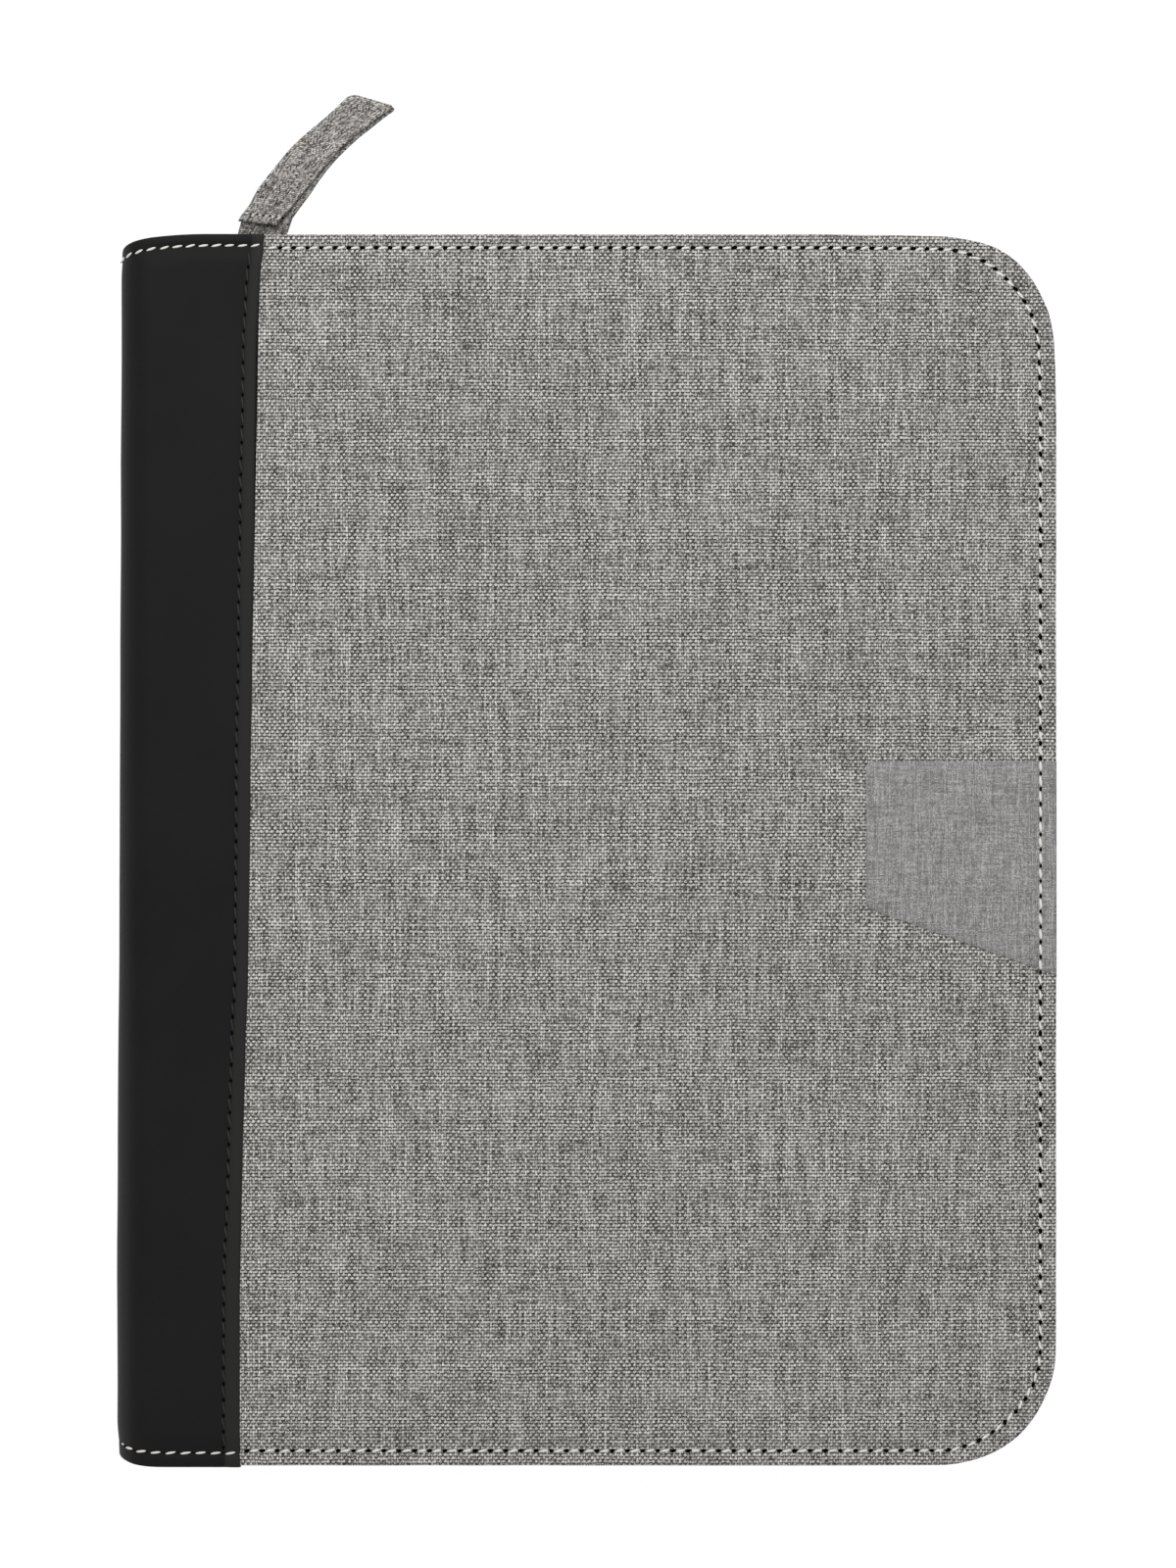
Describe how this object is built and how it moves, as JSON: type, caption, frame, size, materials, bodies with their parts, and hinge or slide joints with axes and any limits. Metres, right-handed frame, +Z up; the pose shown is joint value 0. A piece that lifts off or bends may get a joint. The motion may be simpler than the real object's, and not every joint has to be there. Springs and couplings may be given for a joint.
{
  "type": "zippered planner",
  "caption": "Flat zip-round planner with padded fabric covers, a folding black spine, a zip slider with a fabric pull, and a ring mechanism holding punched pages.",
  "frame": {"origin": "middle of the back cover's outer face, which the planner lies on", "axes": "+Z up through the closed planner, +Y to its head, +X from the spine to the opening edge"},
  "size_m": [0.2586, 0.3821, 0.0385],
  "materials": {
    "cover_fabric": "woven heather polyester, turned and stitched hem",
    "patch_fabric": "smooth fine-weave applied patch",
    "spine_coating": "matte black coated sheet with stitching",
    "padding": "closed-cell foam, cut edges",
    "stiffener": "grey board",
    "lining_cloth": "fine plain-weave lining",
    "zip_tape": "herringbone zip tape",
    "zip_teeth": "injection-moulded acetal teeth",
    "bright_metal": "nickel-plated steel and zinc",
    "pull_fabric": "folded and stitched webbing pull",
    "page_paper": "uncoated planner pages",
    "elastic": "ribbed elastic"
  },
  "bodies": {
    "back_half": {"back_shell": "cover_fabric", "spine_wrap_back": "spine_coating", "back_foam": "padding", "back_board": "stiffener", "back_lining": "lining_cloth", "zip_tape_back": "zip_tape", "zip_teeth_back": "zip_teeth", "zip_stop_back_head": "bright_metal", "zip_stop_back_foot": "bright_metal", "ring_cover_plate": "bright_metal", "ring_rivet_head": "bright_metal", "ring_rivet_foot": "bright_metal", "page_block": "page_paper", "pen_loop": "elastic", "spine_fold_back": "spine_coating"},
    "spine": {"spine_panel": "spine_coating", "spine_board": "stiffener", "spine_lining": "lining_cloth"},
    "front_half": {"front_shell": "cover_fabric", "front_patch": "patch_fabric", "spine_wrap_front": "spine_coating", "front_foam": "padding", "front_board": "stiffener", "front_lining": "lining_cloth", "zip_tape_front": "zip_tape", "zip_teeth_front": "zip_teeth", "zip_stop_front_head": "bright_metal", "zip_stop_front_foot": "bright_metal", "slip_pocket": "lining_cloth", "card_slot_rear": "spine_coating", "card_slot_middle": "spine_coating", "card_slot_front": "spine_coating", "spine_fold_front": "spine_coating"},
    "zip_slider": {"slider_body": "bright_metal"},
    "zip_pull": {"pull_link": "bright_metal", "pull_tab": "pull_fabric"},
    "ring_side_right": {"ring_blade_right": "bright_metal", "half_ring_right_1": "bright_metal", "half_ring_right_2": "bright_metal", "half_ring_right_3": "bright_metal"},
    "ring_side_left": {"ring_blade_left": "bright_metal", "half_ring_left_1": "bright_metal", "half_ring_left_2": "bright_metal", "half_ring_left_3": "bright_metal"},
    "lever_head": {"ring_lever_head": "bright_metal"},
    "lever_foot": {"ring_lever_foot": "bright_metal"}
  },
  "joints": [
    {"name": "spine_fold", "type": "hinge", "parent": "back_half", "child": "spine", "pos_m": [-0.12737, 0, 0.00193], "axis": [0, -1, 0], "range_deg": [0, 90], "deforming": ["spine_fold_back"]},
    {"name": "cover_fold", "type": "hinge", "parent": "spine", "child": "front_half", "pos_m": [-0.12737, 0, 0.03607], "axis": [0, -1, 0], "range_deg": [0, 90], "deforming": ["spine_fold_front"]},
    {"name": "zip_slide", "type": "slide", "parent": "back_half", "child": "zip_slider", "axis": [1, 0, 0], "range_m": [0, 0.182], "deforming": ["zip_teeth_front", "zip_teeth_back"]},
    {"name": "pull_swing", "type": "hinge", "parent": "zip_slider", "child": "zip_pull", "pos_m": [-0.095, 0.16725, 0.019], "axis": [0, 0, 1], "range_deg": [-20, 60]},
    {"name": "ring_open", "type": "hinge", "parent": "back_half", "child": "ring_side_right", "pos_m": [-0.1001, 0, 0.0066], "axis": [0, 1, 0], "range_deg": [0, 12]},
    {"name": "ring_open_left", "type": "hinge", "parent": "back_half", "child": "ring_side_left", "pos_m": [-0.1159, 0, 0.0066], "axis": [0, -1, 0], "range_deg": [0, 12]},
    {"name": "lever_head_press", "type": "hinge", "parent": "back_half", "child": "lever_head", "pos_m": [-0.108, 0.1435, 0.0067], "axis": [-1, 0, 0], "range_deg": [0, 24]},
    {"name": "lever_foot_press", "type": "hinge", "parent": "back_half", "child": "lever_foot", "pos_m": [-0.108, -0.1435, 0.0067], "axis": [1, 0, 0], "range_deg": [0, 24]}
  ],
  "couplings": [
    {"joint": "ring_open_left", "follows": "ring_open", "ratio": 1},
    {"joint": "lever_head_press", "follows": "ring_open", "ratio": 2},
    {"joint": "lever_foot_press", "follows": "ring_open", "ratio": 2}
  ]
}
